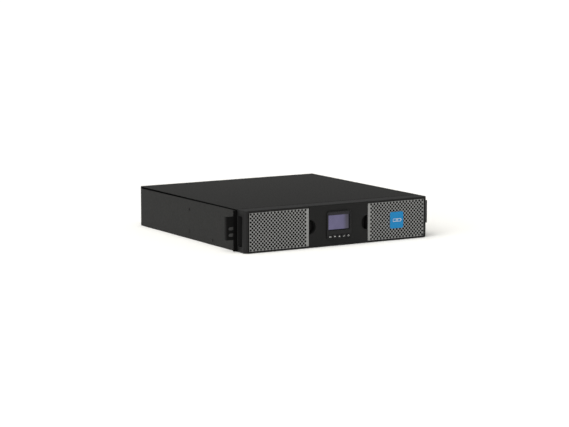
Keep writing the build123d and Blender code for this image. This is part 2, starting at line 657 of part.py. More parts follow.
def inductors():
    """Ring cores with their windings, lying on the board."""
    rings = []
    for y in (-130, -62):
        ring = rod_z(160, y, 30.0, (BOARD_Z[1], 42)) - rod_z(160, y, 12.0, (BOARD_Z[1] - 1, 43))
        rings.append(fillet(ring.edges().filter_by(GeomType.CIRCLE), 5.0))
    return rings


def transformer():
    """Ferrite core with its winding between the limbs."""
    core = block((132, 188), (4, 26), (BOARD_Z[1], 66))
    core -= block((142, 153), (3, 27), (21, 56))
    core -= block((167, 178), (3, 27), (21, 56))
    winding = block((142, 178), (-6, 36), (22, 55)) - block((152.5, 167.5), (3.5, 26.5), (21, 56))
    return core, winding


def control_board():
    """Upright logic card with its main chips."""
    card = block((114, 115.6), (-150, 60), (BOARD_Z[1], 76))
    for y, size in ((-110, 26), (-40, 20), (20, 14)):
        card += block((115.5, 118), (y, y + size), (40, 40 + size))
    return card


def emi_filter():
    """Screened mains filter beside the inlet."""
    body = block((-62, -16), (163, 196), (2 * SHEET + 0.2, 16))
    return fillet(body.edges().filter_by(Axis.Z), 2.0)


# ---- rear panel fittings --------------------------------------------------------------------
def fan_frames():
    """Square fan housings with a round duct, and the motor's mount on four struts."""
    frames = []
    y = (BACK_Y - SHEET - FAN_DEPTH, BACK_Y - SHEET)
    for x in FAN_X:
        body = slab(rounded(x, MID_Z, (FAN_SIZE, FAN_SIZE), 4.0), y)
        body -= rod_y(x, MID_Z, FAN_DUCT_R, (y[0] - 1, y[1] + 1))
        for turn in (45, 135):
            body += Pos(x, y[1] - 2, MID_Z) * Rot(0, turn, 0) * Box(2 * FAN_DUCT_R + 2, 4, 3)
        body += rod_y(x, MID_Z, 17, (y[1] - 4, y[1]))
        body -= [rod_y(x + dx, MID_Z + dz, 2.2, (y[0] - 1, y[1] + 1))
                 for dx in (-FAN_HOLE, FAN_HOLE) for dz in (-FAN_HOLE, FAN_HOLE)]
        frames.append(body)
    return frames


def fan_rotor(x):
    """Hub with seven pitched blades."""
    y = (BACK_Y - SHEET - FAN_DEPTH + 1.5, BACK_Y - SHEET - 4.8)
    middle = sum(y) / 2
    body = rod_y(x, MID_Z, 16.5, y)
    ring = rod_y(x, MID_Z, 36.5, y) - rod_y(x, MID_Z, 15.5, y)
    for index in range(7):
        blade = Pos(26, 0, 0) * Rot(48, 0, 0) * Box(28, 1.4, 26)
        body += (Pos(x, middle, MID_Z) * Rot(0, index * 360 / 7, 0) * blade) & ring
    return body


def fan_guards():
    """Stamped finger guards: rings joined by two crossing bars that end in screw eyes."""
    guards = []
    reach = FAN_HOLE * 2 ** 0.5
    eyes = [(dx, dz) for dx in (-FAN_HOLE, FAN_HOLE) for dz in (-FAN_HOLE, FAN_HOLE)]
    for x in FAN_X:
        sketch = Pos(x, MID_Z) * Rot(0, 0, 45) * Rectangle(2 * (reach - 3), GUARD_BAR)
        sketch += Pos(x, MID_Z) * Rot(0, 0, 135) * Rectangle(2 * (reach - 3), GUARD_BAR)
        for radius in GUARD_RINGS:
            ring = Circle(radius + GUARD_BAR / 2) - Circle(radius - GUARD_BAR / 2)
            sketch += Pos(x, MID_Z) * ring
        for dx, dz in eyes:
            sketch += Pos(x + dx, MID_Z + dz) * Circle(GUARD_EYE_R)
        for dx, dz in eyes:
            sketch -= Pos(x + dx, MID_Z + dz) * Circle(2.2)
        guards.append(slab(sketch, (BACK_Y, BACK_Y + GUARD_BAR)))
    return guards


def fan_screws():
    """Four screws through each guard, the panel and the fan."""
    screw = Rot(-90, 0, 0) * pan_screw(3.8, 2.2, 2.0, 20)
    return [Pos(x + dx, BACK_Y + GUARD_BAR, MID_Z + dz) * screw
            for x in FAN_X for dx in (-FAN_HOLE, FAN_HOLE) for dz in (-FAN_HOLE, FAN_HOLE)]


def connector_outline(x, z, size, cut):
    """Rectangle with its two lower corners cut off, as on mains appliance couplers."""
    w, h = size[0] / 2, size[1] / 2
    points = ((x - w, z + h), (x + w, z + h), (x + w, z + cut - h), (x + w - cut, z - h),
              (x - w + cut, z - h), (x - w, z + cut - h))
    return make_face(Polyline(*points, close=True))


def outlets():
    """Appliance outlets: a flange, a body, the groove around the core and three contact slots."""
    fittings = []
    for x in OUTLET_X:
        for z in OUTLET_Z:
            body = slab(rounded(x, z, (31.6, 28.0), 2.0), (BACK_Y, BACK_Y + 2.2))
            body = fillet(body.edges().group_by(Axis.Y)[-1], 0.8)
            body += centred(x, z, OUTLET_BODY, (202.0, BACK_Y + 0.1))
            groove = connector_outline(x, z, (24.8, 17.2), 4.5) - connector_outline(x, z, (20.4, 12.8), 3.4)
            body -= slab(groove, (210.0, BACK_Y + 3))
            for dx, dz in CONTACTS:
                body -= centred(x + dx, z + dz, (2.3, 4.6), (208, BACK_Y + 3))
            fittings.append(body)
    return fittings


def power_inlet():
    """Mains inlet: a flange with two screw ears, a shrouded cavity and three blades."""
    x, z = INLET_XZ
    body = slab(rounded(x, z, (50.0, 27.0), 3.0), (BACK_Y, BACK_Y + 2.4))
    body = fillet(body.edges().group_by(Axis.Y)[-1], 0.8)
    body += centred(x, z, INLET_BODY, (203.0, BACK_Y + 0.1))
    body -= slab(connector_outline(x, z, (24.6, 17.0), 4.5), (210.0, BACK_Y + 3))
    for dx, dz in CONTACTS:
        body += centred(x + dx, z + dz, (2.0, 4.0), (209.0, BACK_Y - 1.5))
    for dx in (-20.0, 20.0):
        body -= Pos(x + dx, BACK_Y + 1.6, z) * Rot(-90, 0, 0) * Cone(1.7, 3.4, 1.7)
    return body


def breaker():
    """Resettable breaker: body, threaded bush and nut, bored for the button."""
    body = centred(*BREAKER_XZ, (15, 24), (190, BACK_Y - SHEET))
    body += rod_y(*BREAKER_XZ, 5.5, (BACK_Y - SHEET - 0.1, BACK_Y + 5))
    body += slab(Pos(*BREAKER_XZ) * RegularPolygon(8.0, 6), (BACK_Y, BACK_Y + 2.6))
    return body - rod_y(*BREAKER_XZ, 3.6, (BACK_Y - 9, BACK_Y + 6))


def breaker_button():
    button_body = rod_y(*BREAKER_XZ, 3.25, (BACK_Y - 5, BACK_Y + 7))
    return fillet(button_body.edges().group_by(Axis.Y)[-1], 0.8)


def slot_cover():
    """Blank plate over the option card slot."""
    middle = ((SLOT_X[0] + SLOT_X[1]) / 2, (SLOT_Z[0] + SLOT_Z[1]) / 2)
    plate = slab(rounded(*middle, (SLOT_X[1] - SLOT_X[0], SLOT_Z[1] - SLOT_Z[0]), 1.5), (BACK_Y, BACK_Y + SHEET))
    return plate - [rod_y(x, middle[1], 1.7, (BACK_Y - 1, BACK_Y + 3)) for x in (SLOT_X[0] + 5, SLOT_X[1] - 5)]


def slot_screws():
    """Two captive thumb screws with flutes around their heads."""
    screws = []
    for x in (SLOT_X[0] + 5, SLOT_X[1] - 5):
        z = (SLOT_Z[0] + SLOT_Z[1]) / 2
        y = (BACK_Y + SHEET, BACK_Y + SHEET + 5.5)
        head = rod_y(x, z, 4.3, y)
        angles = [index * pi / 8 for index in range(16)]
        flutes = [rod_y(x + 4.5 * cos(a), z + 4.5 * sin(a), 0.45, (y[0] + 1, y[1] + 1)) for a in angles]
        screws.append(head - flutes + rod_y(x, z, 1.5, (BACK_Y - 6, y[0] + 0.1)))
    return screws


def usb_port():
    """Square data port: a steel shell with a tongue inside."""
    x, z = USB_XZ
    body = centred(x, z, (12.0, 11.0), (210, BACK_Y + 0.8)) - centred(x, z, (8.6, 7.9), (212, BACK_Y + 2))
    return body + centred(x, z, (5.6, 3.2), (211, BACK_Y - 1))


def serial_port():
    """D-shaped data port with its flange, nine holes and two jack posts."""
    x, z = SERIAL_XZ
    body = slab(rounded(x, z, (30.8, 12.4), 1.5), (BACK_Y, BACK_Y + 0.8))
    body += centred(x, z, (19.0, 10.8), (214, BACK_Y + 0.1))
    corners = ((x - 8.4, z + 4.1), (x + 8.4, z + 4.1), (x + 7.0, z - 4.1), (x - 7.0, z - 4.1))
    shell = make_face(Polyline(*corners, close=True))
    body += slab(fillet(shell.vertices(), 1.6), (BACK_Y, BACK_Y + 5.5))
    pins = [(x + (i - 2) * 2.76, z + 1.42) for i in range(5)]
    pins += [(x + (i - 1.5) * 2.76, z - 1.42) for i in range(4)]
    body -= [rod_y(px, pz, 0.6, (220, BACK_Y + 6)) for px, pz in pins]
    for dx in (-12.5, 12.5):
        body += slab(Pos(x + dx, z) * RegularPolygon(2.9, 6), (BACK_Y + 0.7, BACK_Y + 5))
    return body


def remote_terminal():
    """Two-way terminal block of the remote switch-off input."""
    x, z = REMOTE_XZ
    body = centred(x, z, (11.4, 8.4), (212, BACK_Y + 4.5))
    for dx in (-2.54, 2.54):
        body -= centred(x + dx, z - 1.2, (3.0, 3.0), (218, BACK_Y + 6))
        body -= rod_y(x + dx, z + 2.4, 1.1, (222, BACK_Y + 6))
    return body


def external_battery_port():
    """Two-pole connector for an external battery cabinet."""
    x, z = EXT_XZ
    body = centred(x, z, (38.0, 12.0), (204, BACK_Y + 3.0))
    body = fillet(body.edges().group_by(Axis.Y)[-1], 0.8)
    for dx in (-9.0, 9.0):
        body -= centred(x + dx, z, (13.0, 8.4), (209, BACK_Y + 4))
        body += centred(x + dx, z - 3.0, (8.0, 1.6), (208, BACK_Y - 3))
    return body


def ground_stud():
    """Earth stud with its washer and nut."""
    body = rod_y(*STUD_XZ, 2.0, (BACK_Y - 6, -DISPLAY_FRONT_Y + BUTTON_PROUD))
    body += rod_y(*STUD_XZ, 4.5, (BACK_Y, BACK_Y + 0.8))
    body += slab(Pos(*STUD_XZ) * RegularPolygon(4.0, 6), (BACK_Y + 0.7, BACK_Y + 3.6))
    return body


# ---- write every node -----------------------------------------------------------------------
def main():
    os.makedirs("parts", exist_ok=True)
    single = (base_tray, top_cover, rear_panel, front_bulkhead, bezel_frame, partition_wall, battery_stop,
              right_panel, right_grille, badge, centre_cover, display_housing, display_window, lcd_panel,
              display_retainer, display_board, battery_tray, pull_handle, battery_plug, battery_socket,
              power_board, control_board, emi_filter, power_inlet, breaker, breaker_button, slot_cover,
              usb_port, serial_port, remote_terminal, external_battery_port, ground_stud)
    groups = (case_screws, battery_blocks, battery_terminals, battery_wiring, battery_feed_leads,
              board_standoffs, heat_sinks, power_transistors, bulk_capacitors, inductors, fan_frames,
              fan_guards, fan_screws, outlets, slot_screws)
    for make in single:
        save(make.__name__, make())
    for make in groups:
        save(make.__name__, *make())
    save("left_panel", mirror(right_panel(), Plane.YZ))
    save("left_grille", mirror(right_grille(), Plane.YZ))
    save("ear_left", ear(-1))
    save("ear_right", ear(1))
    core, winding = transformer()
    save("transformer_core", core)
    save("transformer_winding", winding)
    for index, name in enumerate(BUTTONS):
        save(f"button_{name}", button(index))
    for index, x in enumerate(FAN_X):
        save(f"fan_rotor_{index + 1}", fan_rotor(x))
    print(len(NODES), "nodes")


main()
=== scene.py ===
import json
from math import cos, pi, radians, sin

import bmesh
import bpy
from mathutils import Matrix, Vector


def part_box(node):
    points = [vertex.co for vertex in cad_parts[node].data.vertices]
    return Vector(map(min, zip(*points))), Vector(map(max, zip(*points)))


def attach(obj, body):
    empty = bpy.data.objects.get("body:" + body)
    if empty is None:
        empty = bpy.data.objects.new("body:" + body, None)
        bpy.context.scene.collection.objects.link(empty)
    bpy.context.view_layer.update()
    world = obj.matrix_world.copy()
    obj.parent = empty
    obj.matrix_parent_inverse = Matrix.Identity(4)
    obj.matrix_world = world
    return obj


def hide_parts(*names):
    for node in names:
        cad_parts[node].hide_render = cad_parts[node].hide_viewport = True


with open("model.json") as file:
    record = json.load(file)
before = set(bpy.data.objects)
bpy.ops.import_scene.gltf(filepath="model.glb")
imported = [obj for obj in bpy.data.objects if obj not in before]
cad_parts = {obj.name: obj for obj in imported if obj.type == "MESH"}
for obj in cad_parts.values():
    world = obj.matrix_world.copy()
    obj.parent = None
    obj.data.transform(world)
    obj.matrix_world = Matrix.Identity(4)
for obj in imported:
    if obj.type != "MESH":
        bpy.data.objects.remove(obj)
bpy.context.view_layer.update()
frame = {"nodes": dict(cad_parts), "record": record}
SCENE = bpy.context.scene
MM = 0.001
FRONT_UPRIGHT = Matrix.Rotation(pi / 2, 4, "X")   # turns something standing on Z to lie along Y


# ---- shader node helpers ---------------------------------------------------------------------
def feed(tree, source, socket):
    """Link a socket, or set a plain value."""
    if isinstance(source, bpy.types.NodeSocket):
        tree.links.new(source, socket)
    elif source is not None:
        socket.default_value = source


def calc(tree, operation, *values, clamp=False):
    """A Math node's result."""
    node = tree.nodes.new("ShaderNodeMath")
    node.operation = operation
    node.use_clamp = clamp
    for value, socket in zip(values, node.inputs):
        feed(tree, value, socket)
    return node.outputs[0]


def blend_colour(tree, factor, first, second, mode="MIX"):
    """A colour Mix node's result."""
    node = tree.nodes.new("ShaderNodeMix")
    node.data_type = "RGBA"
    node.blend_type = mode
    feed(tree, factor, node.inputs[0])
    feed(tree, first, node.inputs[6])
    feed(tree, second, node.inputs[7])
    return node.outputs[2]


def remap(tree, value, low, high, out_low=0.0, out_high=1.0, smooth=False):
    """A clamped Map Range node's result."""
    node = tree.nodes.new("ShaderNodeMapRange")
    node.interpolation_type = "SMOOTHSTEP" if smooth else "LINEAR"
    feed(tree, value, node.inputs[0])
    for socket, number in zip(node.inputs[1:5], (low, high, out_low, out_high)):
        feed(tree, number, socket)
    return node.outputs[0]


def object_point(tree, stretch=None):
    """Object coordinates, in metres, drawn out along an axis if stretch is given."""
    point = tree.nodes.new("ShaderNodeTexCoord").outputs["Object"]
    if stretch is None:
        return point
    mapping = tree.nodes.new("ShaderNodeMapping")
    mapping.inputs["Scale"].default_value = stretch
    tree.links.new(point, mapping.inputs["Vector"])
    return mapping.outputs[0]


def noise(tree, point, scale, detail=2.0, roughness=0.5):
    """A Noise Texture's value."""
    node = tree.nodes.new("ShaderNodeTexNoise")
    feed(tree, point, node.inputs["Vector"])
    feed(tree, scale, node.inputs["Scale"])
    node.inputs["Detail"].default_value = detail
    node.inputs["Roughness"].default_value = roughness
    return node.outputs[0]


def axes(tree, point):
    """The x, y and z of a point."""
    node = tree.nodes.new("ShaderNodeSeparateXYZ")
    tree.links.new(point, node.inputs[0])
    return node.outputs[0], node.outputs[1], node.outputs[2]


def facing_up(tree):
    """1 on faces that look straight up, down to 0 on steep ones."""
    normal = tree.nodes.new("ShaderNodeNewGeometry").outputs["Normal"]
    return remap(tree, axes(tree, normal)[2], 0.6, 1.0)


def new_group(name, inputs, outputs):
    """An empty shader group with named sockets, and its two end nodes."""
    tree = bpy.data.node_groups.new(name, "ShaderNodeTree")
    for label, value in inputs:
        socket = tree.interface.new_socket(label, in_out="INPUT", socket_type="NodeSocketFloat")
        socket.default_value = value
    for label, kind in outputs:
        tree.interface.new_socket(label, in_out="OUTPUT", socket_type=kind)
    return tree, tree.nodes.new("NodeGroupInput"), tree.nodes.new("NodeGroupOutput")


def grain_group():
    """Fine texture of a coat or a mould: a height for bumps and a speckle for gloss."""
    tree, start, end = new_group("surface_grain", [("Cells per metre", 1500.0)],
                                 [("Height", "NodeSocketFloat"), ("Speckle", "NodeSocketFloat")])
    point = object_point(tree)
    fine = noise(tree, point, start.outputs[0], 3.0, 0.6)
    broad = noise(tree, point, calc(tree, "MULTIPLY", start.outputs[0], 0.23), 2.0)
    height = calc(tree, "ADD", calc(tree, "MULTIPLY", fine, 0.7), calc(tree, "MULTIPLY", broad, 0.3))
    feed(tree, height, end.inputs[0])
    feed(tree, calc(tree, "SUBTRACT", broad, 0.5), end.inputs[1])
    return tree


def patch_group():
    """Slow change of tone over a hand's width."""
    tree, start, end = new_group("tone_patches", [("Amount", 0.1)], [("Tone", "NodeSocketFloat")])
    value = noise(tree, object_point(tree), 9.0, 4.0, 0.55)
    swing = calc(tree, "MULTIPLY", calc(tree, "SUBTRACT", value, 0.5), start.outputs[0])
    feed(tree, calc(tree, "ADD", swing, 1.0), end.inputs[0])
    return tree


def wear_group():
    """Where edges are rubbed, and the normal of the slightly rounded edge."""
    tree, start, end = new_group("edge_wear", [("Width", 0.0005), ("Amount", 0.5)],
                                 [("Mask", "NodeSocketFloat"), ("Rounded normal", "NodeSocketVector")])
    bevel = tree.nodes.new("ShaderNodeBevel")
    bevel.samples = 4
    feed(tree, start.outputs[0], bevel.inputs["Radius"])
    flat = tree.nodes.new("ShaderNodeNewGeometry").outputs["Normal"]
    dot = tree.nodes.new("ShaderNodeVectorMath")
    dot.operation = "DOT_PRODUCT"
    tree.links.new(bevel.outputs[0], dot.inputs[0])
    tree.links.new(flat, dot.inputs[1])
    bend = remap(tree, dot.outputs["Value"], 0.995, 0.86)
    rubbed = remap(tree, noise(tree, object_point(tree), 160.0, 3.0), 0.35, 0.65)
    mask = calc(tree, "MULTIPLY", calc(tree, "MULTIPLY", bend, rubbed), start.outputs[1])
    feed(tree, mask, end.inputs[0])
    tree.links.new(bevel.outputs[0], end.inputs[1])
    return tree


def dust_and_shade_group():
    """Light dust on faces that look up, thinned toward the front as painted shade, so lids get darker
    toward the front.
    """
    tree, start, end = new_group("dust_and_front_shade", [("Amount", 0.1)], [("Mask", "NodeSocketFloat")])
    upward = facing_up(tree)
    film = remap(tree, noise(tree, object_point(tree), 22.0, 5.0, 0.65), 0.25, 0.8, 0.35, 1.0)
    specks = remap(tree, noise(tree, object_point(tree), 1900.0, 1.0), 0.66, 0.72)
    cover = calc(tree, "MULTIPLY", film, calc(tree, "ADD", calc(tree, "MULTIPLY", specks, 1.5), 0.7))
    # Painted shade: the dust thins toward the front, so the lid gets darker there.
    painted_front_shade = remap(tree, axes(tree, object_point(tree))[1], -0.20, 0.20, 0.05, 1.0)
    lying = calc(tree, "MULTIPLY", calc(tree, "MULTIPLY", upward, cover), painted_front_shade)
    feed(tree, calc(tree, "MULTIPLY", lying, start.outputs[0]), end.inputs[0])
    return tree


GRAIN, PATCHES, WEAR, DUST_AND_SHADE = grain_group(), patch_group(), wear_group(), dust_and_shade_group()


def use(tree, group, *values):
    """Place a shared group in a material with its own values."""
    node = tree.nodes.new("ShaderNodeGroup")
    node.node_tree = group
    for value, socket in zip(values, node.inputs):
        socket.default_value = value
    return node


def empty_material(name, **settings):
    """A material with only a Principled shader, whose constant sockets are given."""
    material = bpy.data.materials.new(name)
    material.use_nodes = True
    shader = material.node_tree.nodes["Principled BSDF"]
    for label, value in settings.items():
        shader.inputs[label.replace("_", " ")].default_value = value
    return material, material.node_tree, shader


def raise_bumps(tree, shader, height, depth, normal=None):
    """Turn a height into a Bump of a given depth in metres."""
    bump = tree.nodes.new("ShaderNodeBump")
    bump.inputs["Strength"].default_value = 1.0
    bump.inputs["Distance"].default_value = depth
    tree.links.new(height, bump.inputs["Height"])
    if normal is not None:
        tree.links.new(normal, bump.inputs["Normal"])
    tree.links.new(bump.outputs[0], shader.inputs["Normal"])


DUST_COLOUR = (0.33, 0.32, 0.30, 1.0)
GLOSS_SWING = 0.25      # how far the grain's speckle moves the roughness
DUST_DULLING = 0.5      # how much roughness full dust adds
PAINTED_SHADE_Y = (0.16, -0.19)     # from where to where along the lid the painted shade grows toward the front


def coated(name, colour, roughness, cells, depth, tone=0.12, worn=None, worn_amount=0.35, edge=0.0005,
           dust=0.0, hole_shade=None, painted_front_shade=None, **settings):
    """A finish with grain, tone changes, rubbed edges and dust, and optional painted shade.

    cells is the grain per metre and depth its height in metres. hole_shade colours faces turned from the
    front, such as the walls of punched holes, as painted shade,
    and painted_front_shade is painted shade: how dark faces that look up get toward the front.
    """
    material, tree, shader = empty_material(name, **settings)
    grain = use(tree, GRAIN, cells)
    patches = use(tree, PATCHES, tone)
    wear = use(tree, WEAR, edge, worn_amount)
    dust_and_shade = use(tree, DUST_AND_SHADE, dust)
    toned = blend_colour(tree, 1.0, (*colour, 1.0), patches.outputs[0], "MULTIPLY")
    rubbed = worn or tuple(min(1.0, 2.2 * c + 0.02) for c in colour)
    base = blend_colour(tree, wear.outputs["Mask"], toned, (*rubbed, 1.0))
    base = blend_colour(tree, dust_and_shade.outputs["Mask"], base, DUST_COLOUR)
    # Painted shade: faces that look up get darker toward the front of the lid.
    if painted_front_shade is not None:
        upward = facing_up(tree)
        near = remap(tree, axes(tree, object_point(tree))[1], *PAINTED_SHADE_Y)
        shade = calc(tree, "MULTIPLY", calc(tree, "MULTIPLY", upward, near), painted_front_shade)
        base = blend_colour(tree, 1.0, base, calc(tree, "SUBTRACT", 1.0, shade), "MULTIPLY")
    # Painted shade: faces turned from the front, such as the walls of punched holes, take a near-black
    # colour.
    if hole_shade is not None:
        facing = axes(tree, tree.nodes.new("ShaderNodeNewGeometry").outputs["True Normal"])[1]
        flat = remap(tree, calc(tree, "ABSOLUTE", facing), 0.4, 0.7)
        base = blend_colour(tree, flat, (*hole_shade, 1.0), base)
    tree.links.new(base, shader.inputs["Base Color"])
    gloss = calc(tree, "MULTIPLY", grain.outputs["Speckle"], GLOSS_SWING)
    gloss = calc(tree, "ADD", gloss, calc(tree, "MULTIPLY", dust_and_shade.outputs["Mask"], DUST_DULLING))
    feed(tree, calc(tree, "ADD", gloss, roughness, clamp=True), shader.inputs["Roughness"])
    raise_bumps(tree, shader, grain.outputs["Height"], depth, wear.outputs["Rounded normal"])
    return material


LINE_DEPTH = 0.00001     # of the lines in bare metal, in metres
METAL_TONE = 0.15
METAL_EDGE = 0.0003


def brushed(name, colour, roughness, stretch):
    """Bare metal with fine lines, drawn out along the axis where stretch is small."""
    material, tree, shader = empty_material(name, Metallic=1.0)
    lines = noise(tree, object_point(tree, stretch), 1.0, 4.0, 0.6)
    patches = use(tree, PATCHES, METAL_TONE)
    base = blend_colour(tree, 1.0, (*colour, 1.0), patches.outputs[0], "MULTIPLY")
    darker = (*(0.6 * channel for channel in colour), 1.0)
    base = blend_colour(tree, calc(tree, "MULTIPLY", lines, 0.35), base, darker)
    tree.links.new(base, shader.inputs["Base Color"])
    streaks = calc(tree, "MULTIPLY", lines, 0.25)
    feed(tree, calc(tree, "ADD", streaks, roughness - 0.12), shader.inputs["Roughness"])
    edges = use(tree, WEAR, METAL_EDGE, 0.0)
    raise_bumps(tree, shader, lines, LINE_DEPTH, edges.outputs["Rounded normal"])
    return material


# ---- finishes --------------------------------------------------------------------------------
def between(tree, value, low, high, soft):
    """1 between two values and 0 outside them, with soft ends."""
    rise = remap(tree, value, low - soft, low)
    return calc(tree, "MULTIPLY", rise, remap(tree, value, high + soft, high))


# The screen's parts, in metres: the lit area, the paler band over it, and where the area fades and darkens,
# as painted shade toward its right edge.
LIT_X, LIT_Z = (-0.0256, 0.0250), (0.0344, 0.0636)
BAND_X, BAND_Z = (-0.0250, 0.0250), (0.0636, 0.0640)
PAINTED_FADE_X, SHADED_X = (0.008, 0.0195), (0.0205, 0.0252)
HALF_CELL = 0.00018
CELL_LINE = (0.000015, 0.00005)
# Painted light: these colours glow instead of being lit; the faded and shaded lilac are painted shade.
LILAC_GLOW, PAINTED_FADE_LILAC = (0.168, 0.155, 0.250, 1.0), (0.098, 0.092, 0.116, 1.0)
SHADED_LILAC = (0.012, 0.012, 0.014, 1.0)
MASK_GLOW, BAND_GLOW = (0.008, 0.008, 0.009, 1.0), (0.036, 0.035, 0.038, 1.0)
MASK_PRINT, BAND_PRINT = (0.002, 0.002, 0.002, 1.0), (0.004, 0.004, 0.004, 1.0)


def lcd_glass():
    """Lilac screen in a dark printed mask, with its fine cell grid; it glows as painted light and fades
    into painted shade on its right.
    """
    material, tree, shader = empty_material("lilac_screen", Specular_IOR_Level=0.0)
    x, _, z = axes(tree, object_point(tree))
    lit_x = between(tree, x, *LIT_X, 0.0002)
    mask = calc(tree, "MULTIPLY", lit_x, between(tree, z, *LIT_Z, 0.0002))
    cells = [remap(tree, calc(tree, "PINGPONG", axis, HALF_CELL), *CELL_LINE, 0.86, 1.0) for axis in (x, z)]
    grid = calc(tree, "MULTIPLY", *cells)
    # Painted shade: the lilac fades to grey and then to near black toward the right.
    lilac = blend_colour(tree, remap(tree, x, *PAINTED_FADE_X, smooth=True), LILAC_GLOW, PAINTED_FADE_LILAC)
    lilac = blend_colour(tree, remap(tree, x, *SHADED_X, smooth=True), lilac, SHADED_LILAC)
    haze = remap(tree, noise(tree, object_point(tree), 60.0, 3.0), 0.3, 0.7, 0.92, 1.06)
    shown_cells = calc(tree, "MULTIPLY", grid, mask)
    lit = blend_colour(tree, 1.0, lilac, calc(tree, "MULTIPLY", haze, shown_cells), "MULTIPLY")
    band = calc(tree, "MULTIPLY", remap(tree, z, *BAND_Z), between(tree, x, *BAND_X, 0.0006))
    border = blend_colour(tree, band, MASK_GLOW, BAND_GLOW)
    shown = blend_colour(tree, mask, border, lit)
    # Painted light: the screen, its mask and its band glow, standing in for the light that falls on them.
    tree.links.new(shown, shader.inputs["Emission Color"])
    shader.inputs["Emission Strength"].default_value = 0.95
    base = blend_colour(tree, band, MASK_PRINT, BAND_PRINT)
    tree.links.new(base, shader.inputs["Base Color"])
    feed(tree, remap(tree, haze, 0.9, 1.1, 0.55, 0.65), shader.inputs["Roughness"])
    return material


def clear_sheet():
    """Clear display window with a coat against glare and a trace of surface unevenness."""
    material, tree, shader = empty_material("clear_window", Transmission_Weight=1.0, IOR=1.01)
    shader.inputs["Base Color"].default_value = (0.93, 0.93, 0.95, 1.0)
    smear = noise(tree, object_point(tree), 45.0, 4.0, 0.6)
    feed(tree, remap(tree, smear, 0.3, 0.7, 0.01, 0.05), shader.inputs["Roughness"])
    raise_bumps(tree, shader, smear, 0.000004)
    return material


def laminate():
    """Green circuit board with darker tracks and tinned pads."""
    material, tree, shader = empty_material("board_laminate")
    point = object_point(tree)
    tracks = tree.nodes.new("ShaderNodeTexVoronoi")
    tracks.distance = "MANHATTAN"
    tracks.feature = "F1"
    tracks.inputs["Scale"].default_value = 240.0
    tree.links.new(point, tracks.inputs["Vector"])
    line = remap(tree, tracks.outputs["Distance"], 0.55, 0.62)
    pad = remap(tree, tracks.outputs["Distance"], 0.16, 0.12)
    base = blend_colour(tree, line, (0.012, 0.115, 0.045, 1.0), (0.018, 0.19, 0.075, 1.0))
    base = blend_colour(tree, pad, base, (0.55, 0.54, 0.50, 1.0))
    tree.links.new(base, shader.inputs["Base Color"])
    feed(tree, calc(tree, "SUBTRACT", 0.42, calc(tree, "MULTIPLY", pad, 0.15)), shader.inputs["Roughness"])
    raise_bumps(tree, shader, calc(tree, "ADD", line, pad), 0.00003)
    return material


def wire_sleeves():
    """Insulation of the drawer's wires: red, with the return lead in black."""
    material, tree, shader = empty_material("wire_sleeves")
    _, y, z = axes(tree, object_point(tree))
    behind = remap(tree, y, 0.1475, 0.1480)
    high = remap(tree, z, 0.0360, 0.0362)
    red, black = (0.36, 0.016, 0.014, 1.0), (0.02, 0.02, 0.02, 1.0)
    base = blend_colour(tree, calc(tree, "MULTIPLY", behind, high), red, black)
    tree.links.new(base, shader.inputs["Base Color"])
    ripple = noise(tree, object_point(tree), 700.0, 2.0)
    feed(tree, remap(tree, ripple, 0.3, 0.7, 0.34, 0.5), shader.inputs["Roughness"])
    raise_bumps(tree, shader, ripple, 0.00002)
    return material


def windings():
    """Varnished copper wire, wound in close turns."""
    material, tree, shader = empty_material("copper_windings", Metallic=1.0)
    point = object_point(tree)
    wave = tree.nodes.new("ShaderNodeTexWave")
    wave.bands_direction = "Z"
    wave.inputs["Scale"].default_value = 160.0
    wave.inputs["Distortion"].default_value = 1.2
    tree.links.new(point, wave.inputs["Vector"])
    base = blend_colour(tree, wave.outputs["Fac"], (0.22, 0.07, 0.025, 1.0), (0.72, 0.30, 0.12, 1.0))
    tree.links.new(base, shader.inputs["Base Color"])
    feed(tree, remap(tree, wave.outputs["Fac"], 0.0, 1.0, 0.45, 0.25), shader.inputs["Roughness"])
    raise_bumps(tree, shader, wave.outputs["Fac"], 0.0004)
    return material


